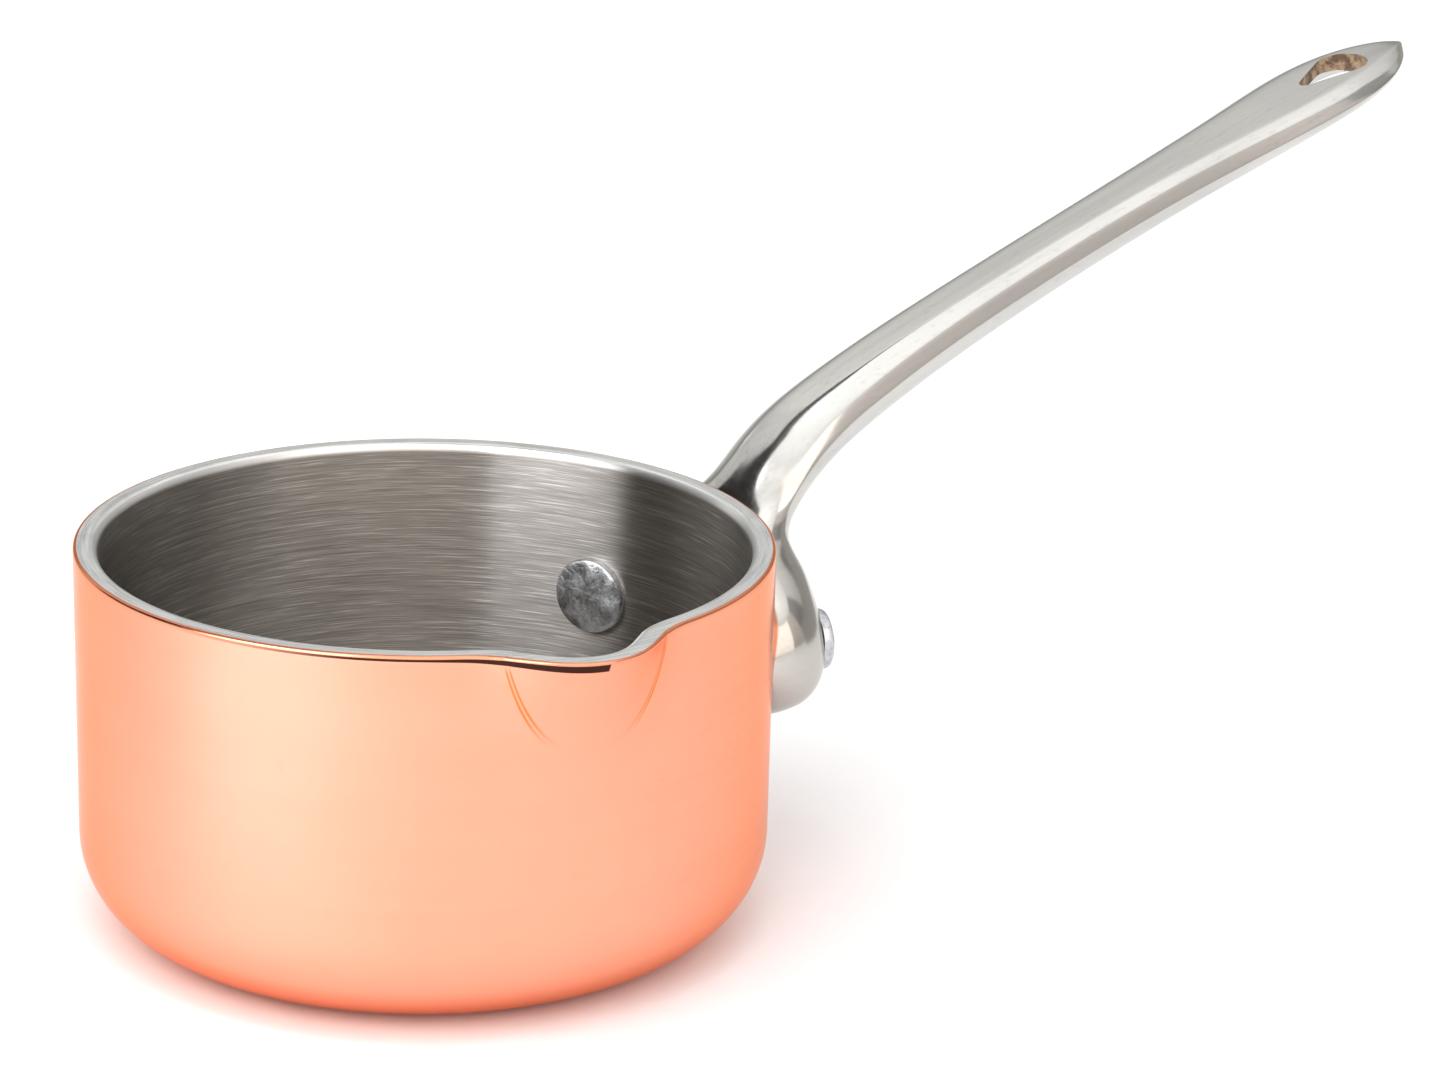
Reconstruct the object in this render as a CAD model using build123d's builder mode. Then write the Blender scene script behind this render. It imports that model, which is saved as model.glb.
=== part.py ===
from build123d import *
import math
import os

os.makedirs("parts", exist_ok=True)

# Small tri-ply copper saucepan: a bonded three-layer body with a pouring lip pressed into
# the rim, and one cast handle held by two rivets. Millimetres. The centre of the base is
# the origin, +Z is up, and the handle runs out along +X.

# ---- Pan body ---------------------------------------------------------------------------
PAN_RADIUS = 35.0            # outside of the copper wall
PAN_HEIGHT = 39.3            # resting surface to rim
CORNER_RADIUS = 9.4          # outside radius where the base turns up into the wall
COPPER_THICKNESS = 0.35
ALUMINIUM_THICKNESS = 1.6
STEEL_THICKNESS = 0.45
WALL_THICKNESS = COPPER_THICKNESS + ALUMINIUM_THICKNESS + STEEL_THICKNESS
RIM_OUTER_ROUND = 0.3        # broken outer edge of the rim
RIM_INNER_ROUND = 0.9        # softer inner edge of the rim

# ---- Pouring lip ------------------------------------------------------------------------
LIP_AZIMUTH = -102.0         # degrees round from the handle
LIP_LEAN = 25.5              # outward lean of the lip from vertical, degrees
LIP_RADIUS = 8.4             # roundness of the lip, square to its own run
LIP_START = 28.8             # height where the lip leaves the wall
LIP_CREASE_ROUND = 3.0       # outside blend between lip and wall
LIP_DEPTH = 30.0             # how far the forming tool reaches down into the pan
CREASE_SEARCH = 5.25         # the crease is looked for this close to the wall
TRIM_STOCK = 5.0             # extra height, cut off level at the rim

# ---- Rivets -----------------------------------------------------------------------------
RIVET_ANGLE = 19.5           # degrees to each side of the handle
RIVET_HEIGHT = 24.1
SHANK_RADIUS = 2.2
INNER_HEAD_RADIUS = 3.9
INNER_HEAD_THICKNESS = 1.0
OUTER_HEAD_RADIUS = 3.2
OUTER_HEAD_THICKNESS = 1.2
HEAD_EDGE_ROUND = 0.35

# ---- Handle root ------------------------------------------------------------------------
BOSS_RADIUS = 6.7            # round pad that bears on the wall
BOSS_FACE = 42.6             # distance from the pan axis to the flat under the rivet head
BOSS_FACE_RADIUS = 3.7
BOSS_DOME_DEPTH = 6.2        # outer part of the pad, which domes in to the flat
BOSS_DOME_SLOPE = 0.6        # outward run of the dome where it meets the flat, per unit inward
BOSS_DROP = 0.7              # the pad sits a little lower than its rivet
LEG_END_RADIUS = 4.6
LEG_REACH = 20.0             # outward length of the leg stock before it is trimmed to the root
NECK_RADIUS = 5.7
NECK_HEIGHT = 33.0
NECK_OFFSET = 0.8
CROTCH_ROUND = 2.4
ROOT_EDGE_ROUND = 1.1
MIDDLE_TOLERANCE = 0.01      # an edge this close to the handle's middle plane lies on it
# Distance from the pan axis and height along the outer and inner faces of the fork. The
# inner face stands 0.6 clear of the wall, so only the pads touch it.
ROOT_OUTER_FACE = [(41.8, 14.0), (42.3, 22.0), (42.4, 28.0), (42.6, 32.5), (43.9, 36.0), (46.0, 38.5)]
ROOT_INNER_FACE = [(35.6, 14.0), (35.6, 22.0), (36.2, 28.5), (37.6, 33.0), (39.4, 36.0), (41.2, 38.5)]

# ---- Handle bar: distance out, height, slope, width and thickness at each station --------
BAR_STATIONS = [
    (42.4, 34.9, 66.0, 12.2, 4.4),
    (44.4, 37.9, 56.0, 11.8, 4.8),
    (47.6, 40.5, 39.0, 10.8, 5.2),
    (51.7, 42.85, 28.0, 10.2, 5.2),
    (57.5, 45.4, 21.5, 9.3, 5.1),
    (64.5, 48.3, 19.5, 8.6, 4.8),
    (76.0, 52.2, 18.2, 8.0, 4.5),
    (90.0, 56.8, 17.9, 7.9, 4.3),
    (104.0, 61.1, 17.3, 8.6, 4.1),
    (116.0, 64.6, 16.8, 10.3, 3.8),
    (127.0, 68.1, 15.8, 12.4, 3.0),
    (136.0, 70.95, 14.5, 13.2, 2.4),
    (148.0, 73.75, 13.5, 13.2, 2.1),
]
BAR_BEVEL_SHARE = 0.42       # part of the half width taken by the bevel
BAR_BEVEL_DROP = 0.22        # part of the thickness taken by the bevel
BAR_UNDER_SHARE = 0.34       # the same two for the slope up from the underside
BAR_UNDER_RISE = 0.36
BAR_CORNER_ROUND = 0.5

# ---- Blade and hanging hole -------------------------------------------------------------
BLADE_TIP = 146.2
BLADE_SHOULDER = 131.5       # where the sides begin to close to the tip
BLADE_HALF_WIDTH = 6.45
BLADE_NOSE_SLOPE = 0.6       # outward run at the tip, per unit across; above 0 it is pointed
BLADE_SHOULDER_PULL = 1.0    # how long the sides stay straight past the shoulder
BLADE_NOSE_PULL = 0.6        # how long they stay square to the handle at the tip
HOLE_ROUND_CENTRE = 136.4    # centre of the round end, towards the tip
HOLE_ROUND_RADIUS = 3.1
HOLE_APEX = 129.9            # narrow end, towards the pan
HOLE_APEX_RADIUS = 0.8
HOLE_LEVEL = 70.75           # height of the hole's middle at the round end
HOLE_REACH = 8.0             # depth of cut to each side of that middle


# ---- Pan body: solid blocks bounded by each layer surface ----------------------------------
lip_azimuth = math.radians(LIP_AZIMUTH)
lip_lean = math.radians(LIP_LEAN)
lip_axis_reach = (
    PAN_RADIUS
    + (PAN_HEIGHT - LIP_START) * math.tan(lip_lean)
    - LIP_RADIUS / math.cos(lip_lean)
)
lip_plane = Plane(
    origin=(
        lip_axis_reach * math.cos(lip_azimuth),
        lip_axis_reach * math.sin(lip_azimuth),
        PAN_HEIGHT,
    ),
    x_dir=(
        -math.cos(lip_lean) * math.cos(lip_azimuth),
        -math.cos(lip_lean) * math.sin(lip_azimuth),
        math.sin(lip_lean),
    ),
    z_dir=(
        math.sin(lip_lean) * math.cos(lip_azimuth),
        math.sin(lip_lean) * math.sin(lip_azimuth),
        math.cos(lip_lean),
    ),
)


def is_lip_crease(edge):
    """The long edge where the lip leaves the upright wall."""
    reach = math.hypot(edge.center().X, edge.center().Y)
    starts_low = edge.bounding_box().min.Z < PAN_HEIGHT
    return starts_low and reach > PAN_RADIUS - CREASE_SEARCH and edge.length > LIP_RADIUS


def pan_block(inset):
    """A solid block of the pan with its skin set in from the outside by `inset`."""
    radius = PAN_RADIUS - inset
    corner = CORNER_RADIUS - inset
    top = PAN_HEIGHT + TRIM_STOCK
    with BuildPart() as block:
        with BuildSketch(Plane.XZ):
            with BuildLine():
                floor = Line((0, inset), (radius - corner, inset))
                turn = TangentArc(floor @ 1, (radius, inset + corner), tangent=floor % 1)
                wall = Line(turn @ 1, (radius, top))
                Polyline(wall @ 1, (0, top), (0, inset))
            make_face()
        revolve(axis=Axis.Z)
        with BuildSketch(lip_plane.offset(-LIP_DEPTH)):
            Circle(LIP_RADIUS - inset)
        extrude(amount=LIP_DEPTH + 3 * TRIM_STOCK)
        crease = block.edges(Select.LAST).filter_by(is_lip_crease)
        fillet(crease, LIP_CREASE_ROUND + inset)
        split(bisect_by=Plane.XY.offset(PAN_HEIGHT), keep=Keep.BOTTOM)
    return block.part


outer_block = pan_block(0.0)
core_block = pan_block(COPPER_THICKNESS)
liner_block = pan_block(COPPER_THICKNESS + ALUMINIUM_THICKNESS)
inside_block = pan_block(WALL_THICKNESS)


def rivet_plane(side, reach):
    """Plane facing straight out through the rivet on one side, at a distance from the pan axis."""
    angle = math.radians(side * RIVET_ANGLE)
    out = Vector(math.cos(angle), math.sin(angle), 0)
    return Plane(origin=out * reach + Vector(0, 0, RIVET_HEIGHT), x_dir=(0, 0, 1), z_dir=out)


# ---- Whole wall with its rim rounds and rivet holes, later parted into layers ----------------
with BuildPart() as wall_stack:
    add(outer_block)
    add(inside_block, mode=Mode.SUBTRACT)
    rim = wall_stack.faces().sort_by(Axis.Z)[-1]
    fillet(rim.outer_wire().edges(), RIM_OUTER_ROUND)
    rim = wall_stack.faces().filter_by(GeomType.PLANE).sort_by(Axis.Z)[-1]
    fillet(rim.inner_wires()[0].edges(), RIM_INNER_ROUND)
    for side in (-1, 1):
        with BuildSketch(rivet_plane(side, PAN_RADIUS / 2)):
            Circle(SHANK_RADIUS)
        extrude(amount=PAN_RADIUS, mode=Mode.SUBTRACT)

with BuildPart() as copper_shell:
    add(wall_stack.part)
    add(core_block, mode=Mode.SUBTRACT)

with BuildPart() as aluminium_core:
    add(wall_stack.part)
    add(core_block, mode=Mode.INTERSECT)
    add(liner_block, mode=Mode.SUBTRACT)

with BuildPart() as steel_liner:
    add(wall_stack.part)
    add(liner_block, mode=Mode.INTERSECT)


# ---- Rivets: wide flat head inside, shank through wall and pad, smaller head outside --------
def make_rivet(side):
    """One rivet, its inner head bedded on the curved liner."""
    liner_reach = PAN_RADIUS - WALL_THICKNESS
    with BuildPart() as rivet:
        with BuildSketch(rivet_plane(side, liner_reach - INNER_HEAD_THICKNESS)):
            Circle(INNER_HEAD_RADIUS)
        extrude(amount=2 * INNER_HEAD_THICKNESS)
        inner_rim = rivet.edges().sort_by(Axis((0, 0, 0), rivet_plane(side, 0).z_dir))[0]
        fillet(inner_rim, HEAD_EDGE_ROUND)
        add(inside_block, mode=Mode.INTERSECT)
        with BuildSketch(rivet_plane(side, liner_reach - INNER_HEAD_THICKNESS / 2)):
            Circle(SHANK_RADIUS)
        extrude(amount=BOSS_FACE - liner_reach + INNER_HEAD_THICKNESS / 2)
        with BuildSketch(rivet_plane(side, BOSS_FACE)):
            Circle(OUTER_HEAD_RADIUS)
        extrude(amount=OUTER_HEAD_THICKNESS)
        outer_rim = rivet.edges().sort_by(Axis((0, 0, 0), rivet_plane(side, 0).z_dir))[-1]
        fillet(outer_rim, HEAD_EDGE_ROUND)
    return rivet.part


rivet_left = make_rivet(1)
rivet_right = make_rivet(-1)


# ---- Handle ----------------------------------------------------------------------------------
def leg_solid(side):
    """One leg of the fork, a tapering run from the neck to its rivet."""
    pad_middle = (PAN_RADIUS + BOSS_FACE) / 2
    pad_y = side * pad_middle * math.sin(math.radians(RIVET_ANGLE))
    with BuildPart() as leg:
        with BuildSketch(Plane.YZ.offset(PAN_RADIUS - WALL_THICKNESS)):
            with Locations((pad_y, RIVET_HEIGHT)):
                Circle(LEG_END_RADIUS)
            with Locations((side * NECK_OFFSET, NECK_HEIGHT)):
                Circle(NECK_RADIUS)
            make_hull()
        extrude(amount=LEG_REACH)
    return leg.part


def is_in_middle(edge):
    """An edge that lies in the handle's middle plane, between the two legs."""
    return abs(edge.center().Y) < MIDDLE_TOLERANCE


with BuildPart() as root_ring:
    with BuildSketch(Plane.XZ):
        with BuildLine():
            outer_face = Spline(*ROOT_OUTER_FACE)
            inner_face = Spline(*ROOT_INNER_FACE)
            Line(outer_face @ 0, inner_face @ 0)
            Line(outer_face @ 1, inner_face @ 1)
        make_face()
    revolve(axis=Axis.Z)

with BuildPart() as root:
    add(leg_solid(1))
    add(leg_solid(-1))
    crotch = root.edges().filter_by(Axis.X).filter_by(is_in_middle)
    fillet(crotch.sort_by(Axis.Z)[0], CROTCH_ROUND)
    add(root_ring.part, mode=Mode.INTERSECT)
    fillet(root.edges(), ROOT_EDGE_ROUND)


def bar_sketch(station):
    """Cross-section of the bar: flat top, bevelled shoulders, upright sides, narrower underside."""
    reach, height, slope, width, thickness = station
    tilt = math.radians(slope)
    half_width = width / 2
    half_thickness = thickness / 2
    shoulder = half_width * (1 - BAR_BEVEL_SHARE)
    shoulder_drop = thickness * BAR_BEVEL_DROP
    under = half_width * (1 - BAR_UNDER_SHARE)
    under_rise = thickness * BAR_UNDER_RISE
    across = Plane(
        origin=(reach, 0, height),
        x_dir=(0, 1, 0),
        z_dir=(math.cos(tilt), 0, math.sin(tilt)),
    )
    with BuildSketch(across) as section:
        Polygon(
            (-under, -half_thickness),
            (under, -half_thickness),
            (half_width, -half_thickness + under_rise),
            (half_width, half_thickness - shoulder_drop),
            (shoulder, half_thickness),
            (-shoulder, half_thickness),
            (-half_width, half_thickness - shoulder_drop),
            (-half_width, -half_thickness + under_rise),
            align=None,
        )
        fillet(section.vertices(), BAR_CORNER_ROUND)
    return section.sketch


with BuildPart() as bar:
    loft([bar_sketch(station).faces()[0] for station in BAR_STATIONS])


def boss_solid(side):
    """The round pad at the end of one leg, domed in towards the rivet head."""
    with BuildPart() as boss:
        with BuildSketch(Plane.XY):
            with BuildLine():
                rim = Line((PAN_RADIUS - 1, BOSS_RADIUS), (BOSS_FACE - BOSS_DOME_DEPTH, BOSS_RADIUS))
                dome = Spline(
                    rim @ 1,
                    (BOSS_FACE, BOSS_FACE_RADIUS),
                    tangents=((1, 0), (BOSS_DOME_SLOPE, -1)),
                )
                Polyline(dome @ 1, (BOSS_FACE, 0), (PAN_RADIUS - 1, 0), rim @ 0)
            make_face()
        revolve(axis=Axis.X)
    turned = boss.part.moved(Location((0, 0, RIVET_HEIGHT - BOSS_DROP), (0, 0, side * RIVET_ANGLE)))
    return turned


with BuildPart() as blade_waste:
    with BuildSketch(Plane.XY):
        with BuildLine():
            left = Spline(
                (BLADE_SHOULDER, BLADE_HALF_WIDTH),
                (BLADE_TIP, 0),
                tangents=((1, 0), (BLADE_NOSE_SLOPE, -1)),
                tangent_scalars=(BLADE_SHOULDER_PULL, BLADE_NOSE_PULL),
            )
            Polyline(
                left @ 1,
                (BLADE_TIP + BLADE_HALF_WIDTH, 0),
                (BLADE_TIP + BLADE_HALF_WIDTH, 2 * BLADE_HALF_WIDTH),
                (BLADE_SHOULDER, 2 * BLADE_HALF_WIDTH),
                left @ 0,
            )
        make_face()
        mirror(about=Plane.XZ)
    extrude(amount=BAR_STATIONS[-1][1] * 2)

with BuildPart() as handle:
    add(bar.part)
    add(root.part)
    add(boss_solid(1))
    add(boss_solid(-1))
    add(blade_waste.part, mode=Mode.SUBTRACT)
    hole_tilt = math.radians(BAR_STATIONS[-1][2])
    hole_plane = Plane(
        origin=(HOLE_ROUND_CENTRE, 0, HOLE_LEVEL),
        x_dir=(math.cos(hole_tilt), 0, math.sin(hole_tilt)),
        z_dir=(-math.sin(hole_tilt), 0, math.cos(hole_tilt)),
    )
    with BuildSketch(hole_plane.offset(-HOLE_REACH)):
        Circle(HOLE_ROUND_RADIUS)
        with Locations((HOLE_APEX - HOLE_ROUND_CENTRE, 0)):
            Circle(HOLE_APEX_RADIUS)
        make_hull()
    extrude(amount=2 * HOLE_REACH, mode=Mode.SUBTRACT)
    for side in (-1, 1):
        with BuildSketch(rivet_plane(side, PAN_RADIUS / 2)):
            Circle(SHANK_RADIUS)
        extrude(amount=PAN_RADIUS, mode=Mode.SUBTRACT)
    add(outer_block, mode=Mode.SUBTRACT)


# ---- Label and export every piece --------------------------------------------------------------
copper_shell.part.label = "copper_shell"
export_step(copper_shell.part, "parts/copper_shell.step")
aluminium_core.part.label = "aluminium_core"
export_step(aluminium_core.part, "parts/aluminium_core.step")
steel_liner.part.label = "steel_liner"
export_step(steel_liner.part, "parts/steel_liner.step")
rivet_left.label = "rivet_left"
export_step(rivet_left, "parts/rivet_left.step")
rivet_right.label = "rivet_right"
export_step(rivet_right, "parts/rivet_right.step")
handle.part.label = "handle"
export_step(handle.part, "parts/handle.step")
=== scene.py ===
import math

import bmesh
import bpy
import numpy as np
from mathutils import Matrix, Vector, noise


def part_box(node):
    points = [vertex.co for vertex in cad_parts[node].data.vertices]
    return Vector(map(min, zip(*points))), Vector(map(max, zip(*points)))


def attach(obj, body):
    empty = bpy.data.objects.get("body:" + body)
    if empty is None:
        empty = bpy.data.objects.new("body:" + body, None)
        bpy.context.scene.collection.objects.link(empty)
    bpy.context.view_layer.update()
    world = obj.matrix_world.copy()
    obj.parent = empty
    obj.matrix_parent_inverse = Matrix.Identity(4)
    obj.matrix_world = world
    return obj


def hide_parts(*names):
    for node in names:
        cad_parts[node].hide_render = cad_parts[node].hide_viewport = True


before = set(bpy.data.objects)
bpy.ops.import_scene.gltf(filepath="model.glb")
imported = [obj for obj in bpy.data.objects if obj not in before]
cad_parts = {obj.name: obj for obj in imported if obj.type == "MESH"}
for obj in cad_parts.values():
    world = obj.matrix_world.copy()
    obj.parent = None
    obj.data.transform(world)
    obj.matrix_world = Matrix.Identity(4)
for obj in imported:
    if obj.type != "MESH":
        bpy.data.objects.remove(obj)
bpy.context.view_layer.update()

# Copper saucepan. Everything below is in the row frame: origin at the centre of the base,
# +Z up, handle along +X. Lengths are worked in millimetres and stored in metres.
MM = 0.001

# ---- Sizes ----------------------------------------------------------------------------------------
# All are the CAD model's, except LIP_BLEND, the two CREASE sizes and INNER_HEAD_RADIUS. Those four were
# set against the photo.
PAN_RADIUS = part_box("copper_shell")[1].x / MM
PAN_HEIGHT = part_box("copper_shell")[1].z / MM
# Insets are distances in from the copper's outer face.
COPPER_INSET = PAN_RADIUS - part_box("aluminium_core")[1].x / MM
STEEL_INSET = PAN_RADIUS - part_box("steel_liner")[1].x / MM
STEEL_THICKNESS = 0.45
WALL = STEEL_INSET + STEEL_THICKNESS
CORNER = 9.4                   # outer round between the base and the wall
RIM_OUTER_ROUND = 0.3
RIM_INNER_ROUND = 0.9
LIP_AZIMUTH = math.radians(-102.0)
LIP_LEAN = math.radians(25.5)  # slope of the lip's front, from upright
LIP_RADIUS = 8.4
LIP_START = 28.8               # height where the lip leaves the wall
LIP_BLEND = 4.0                # reach of the soft blend between the lip's round and the wall
CREASE_DEPTH = 0.05            # the faint groove where the lip's flanks meet the wall
CREASE_WIDTH = 0.3
LIP_AXIS = PAN_RADIUS + (PAN_HEIGHT - LIP_START) * math.tan(LIP_LEAN) - LIP_RADIUS / math.cos(LIP_LEAN)
RIVET_ANGLE = math.radians(19.5)
RIVET_HEIGHT = 24.1
BOSS_FACE = 42.6               # distance out of the pads' faces, under the outer heads
SHANK_RADIUS = 2.2
INNER_HEAD_RADIUS = 4.1
INNER_HEAD_THICKNESS = 1.0
OUTER_HEAD_RADIUS = 3.2
OUTER_HEAD_THICKNESS = 1.2
HOLE_ROUND = (136.4, 3.1)      # distance out and radius of the hanging hole's round end
HOLE_APEX = (129.9, 0.8)       # the same of its narrow end, nearer the pan
HOLE_SLOPE = math.radians(13.5)
HOLE_LEVEL = 70.75


# ---- Node materials -------------------------------------------------------------------------------
class Shader:
    """Builds one procedural material around a Principled shader."""

    def __init__(self, name, metallic, color):
        """The colour is the plain one, for viewers that don't run the nodes."""
        self.material = bpy.data.materials.new(name)
        self.material.use_nodes = True
        self.material.diffuse_color = (*color, 1)
        self.tree = self.material.node_tree
        self.surface = self.tree.nodes["Principled BSDF"]
        self.surface.inputs["Metallic"].default_value = metallic
        self.surface.inputs["Base Color"].default_value = (*color, 1)

    def put(self, target, value):
        """Sets a socket to a number or colour, or links another node's socket to it."""
        if isinstance(value, bpy.types.NodeSocket):
            self.tree.links.new(value, target)
        else:
            target.default_value = value

    def math(self, operation, a, b=0.0):
        node = self.tree.nodes.new("ShaderNodeMath")
        node.operation = operation
        self.put(node.inputs[0], a)
        self.put(node.inputs[1], b)
        return node.outputs[0]

    def weighted(self, first, first_weight, second, second_weight, operation="ADD"):
        """The sum or difference of two values, each times its own number."""
        return self.math(
            operation,
            self.math("MULTIPLY", first, first_weight),
            self.math("MULTIPLY", second, second_weight),
        )

    def length(self, a, b):
        """Length of the flat vector (a, b)."""
        squares = self.math("ADD", self.math("MULTIPLY", a, a), self.math("MULTIPLY", b, b))
        return self.math("SQRT", squares)

    def product(self, first, *others):
        """All the given masks multiplied together."""
        for other in others:
            first = self.math("MULTIPLY", first, other)
        return first

    def position(self):
        """The point's place in the row frame, in metres, as one vector and three sockets."""
        node = self.tree.nodes.new("ShaderNodeTexCoord")
        parts = self.tree.nodes.new("ShaderNodeSeparateXYZ")
        self.put(parts.inputs[0], node.outputs["Object"])
        return node.outputs["Object"], parts.outputs[0], parts.outputs[1], parts.outputs[2]

    def vector(self, x, y, z):
        node = self.tree.nodes.new("ShaderNodeCombineXYZ")
        for target, value in zip(node.inputs, (x, y, z)):
            self.put(target, value)
        return node.outputs[0]

    def noise(self, place, scale, detail=3.0, roughness=0.55):
        node = self.tree.nodes.new("ShaderNodeTexNoise")
        self.put(node.inputs["Vector"], place)
        node.inputs["Scale"].default_value = scale
        node.inputs["Detail"].default_value = detail
        node.inputs["Roughness"].default_value = roughness
        return node.outputs["Fac"]

    def span(self, value, low, high, out_low, out_high):
        """Maps a value from one range to another, with a smooth step."""
        node = self.tree.nodes.new("ShaderNodeMapRange")
        node.interpolation_type = "SMOOTHSTEP"
        for index, number in enumerate((value, low, high, out_low, out_high)):
            self.put(node.inputs[index], number)
        return node.outputs[0]

    def mix(self, share, first, second):
        """Blends two colours, given as sockets or as red, green and blue."""
        node = self.tree.nodes.new("ShaderNodeMix")
        node.data_type = "RGBA"
        factor, color_a, color_b = node.inputs[0], node.inputs[6], node.inputs[7]
        self.put(factor, share)
        for target, value in ((color_a, first), (color_b, second)):
            if not isinstance(value, bpy.types.NodeSocket):
                value = (*value, 1)
            self.put(target, value)
        return node.outputs[2]

    def bump(self, height, strength, distance, below=None):
        node = self.tree.nodes.new("ShaderNodeBump")
        node.inputs["Strength"].default_value = strength
        node.inputs["Distance"].default_value = distance
        self.put(node.inputs["Height"], height)
        if below is not None:
            self.put(node.inputs["Normal"], below)
        return node.outputs[0]

    def finish(self, color, roughness, normal):
        self.put(self.surface.inputs["Base Color"], color)
        self.put(self.surface.inputs["Roughness"], roughness)
        self.put(self.surface.inputs["Normal"], normal)
        return self.material


AXIS_CLEARANCE = 0.5           # turned marks stop narrowing this close to the pan's axis
ACROSS_THE_MARKS = 0.25        # a quarter turn, from along the marks to across them


def turned_place(shader, pull):
    """Coordinates for marks turned round the pan, pull times longer round it than across; and height."""
    _, x, y, z = shader.position()
    reach = shader.length(x, y)
    safe = shader.math("MAXIMUM", reach, AXIS_CLEARANCE * MM)
    around = PAN_RADIUS * MM / pull
    return shader.vector(
        shader.math("MULTIPLY", shader.math("DIVIDE", x, safe), around),
        shader.math("MULTIPLY", shader.math("DIVIDE", y, safe), around),
        shader.math("ADD", reach, z),
    ), z


def brush_round(shader, amount):
    """Stretches highlights up and down the wall, as marks turned round the pan do."""
    shader.surface.inputs["Anisotropic"].default_value = amount
    shader.surface.inputs["Anisotropic Rotation"].default_value = ACROSS_THE_MARKS
    tangent = shader.tree.nodes.new("ShaderNodeTangent")
    tangent.direction_type = "RADIAL"
    tangent.axis = "Z"
    shader.put(shader.surface.inputs["Tangent"], tangent.outputs[0])


# The painted shade lines beside the lip: two lines, each this far from the crease, fading at both ends.
MARK_OFFSET = 0.15
MARK_EDGES = (0.03, 0.13)      # half width of a line where it starts and ends fading
MARK_FOOT = (29.5, 33.5)       # heights where the marks fade in
MARK_TOP = (37.6, 38.6)        # heights where they fade out
MARK_STRENGTH = 0.95
MARK_MIDDLE_GAP = (1.0, 3.5)   # none this close to the lip's middle
MARK_REACH = (20, 25)          # none on the far side of the pan

# The painted dark reflection line under the rim, by depth below the rim and by distance aside from the
# lip's middle.
LINE_TOP = (0.26, 0.34)
LINE_BOTTOM = (0.58, 1.15)     # thin away from the lip, thicker at its middle
LINE_GROWS_FROM = -16
LINE_SOFTNESS = 0.07
LINE_END = (-0.15, 0.0)
LINE_FAR_END = (-33, -20)
LINE_FAINT = 0.2               # what is left of the line past its far end
LINE_BACK = (-12, -4)          # fades out round to the back of the pan


def lip_aside(shader, x, y):
    """Distance to the side of the lip's middle plane."""
    return shader.weighted(y, math.cos(LIP_AZIMUTH), x, math.sin(LIP_AZIMUTH), "SUBTRACT")


def lip_crease(shader):
    """Mask of the paired painted shade lines where the lip's flanks leave the round wall."""
    _, x, y, z = shader.position()
    ahead = shader.weighted(x, math.cos(LIP_AZIMUTH), y, math.sin(LIP_AZIMUTH))
    aside = lip_aside(shader, x, y)
    lean = math.tan(LIP_LEAN)
    centre = shader.math("ADD", shader.math("MULTIPLY", z, lean), (LIP_AXIS - PAN_HEIGHT * lean) * MM)
    across = shader.math("MULTIPLY", shader.math("SUBTRACT", ahead, centre), math.cos(LIP_LEAN))
    lip = shader.math("SUBTRACT", shader.length(across, aside), LIP_RADIUS * MM)
    body = shader.math("SUBTRACT", shader.length(ahead, aside), PAN_RADIUS * MM)
    apart = shader.math("ABSOLUTE", shader.math("SUBTRACT", body, lip))
    line = shader.math("ABSOLUTE", shader.math("SUBTRACT", apart, MARK_OFFSET * MM))
    return shader.product(
        shader.span(line, MARK_EDGES[0] * MM, MARK_EDGES[1] * MM, 1.0, 0.0),
        shader.span(z, MARK_FOOT[0] * MM, MARK_FOOT[1] * MM, 0.0, MARK_STRENGTH),
        shader.span(z, MARK_TOP[0] * MM, MARK_TOP[1] * MM, 1.0, 0.0),
        shader.span(
            shader.math("ABSOLUTE", aside), MARK_MIDDLE_GAP[0] * MM, MARK_MIDDLE_GAP[1] * MM, 0.0, 1.0
        ),
        shader.span(ahead, MARK_REACH[0] * MM, MARK_REACH[1] * MM, 0.0, 1.0),
    )


def rim_line(shader):
    """Mask of the painted dark reflection line under the rim, which ends at the lip's middle."""
    _, x, y, z = shader.position()
    aside = lip_aside(shader, x, y)
    depth = shader.math("SUBTRACT", PAN_HEIGHT * MM, z)
    bottom = shader.span(aside, LINE_GROWS_FROM * MM, 0.0, LINE_BOTTOM[0] * MM, LINE_BOTTOM[1] * MM)
    return shader.product(
        shader.span(shader.math("SUBTRACT", bottom, depth), 0.0, LINE_SOFTNESS * MM, 0.0, 1.0),
        shader.span(depth, LINE_TOP[0] * MM, LINE_TOP[1] * MM, 0.0, 1.0),
        shader.span(aside, LINE_END[0] * MM, LINE_END[1] * MM, 1.0, 0.0),
        shader.span(aside, LINE_FAR_END[0] * MM, LINE_FAR_END[1] * MM, LINE_FAINT, 1.0),
        shader.span(y, LINE_BACK[0] * MM, LINE_BACK[1] * MM, 1.0, 0.0),
    )


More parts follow.
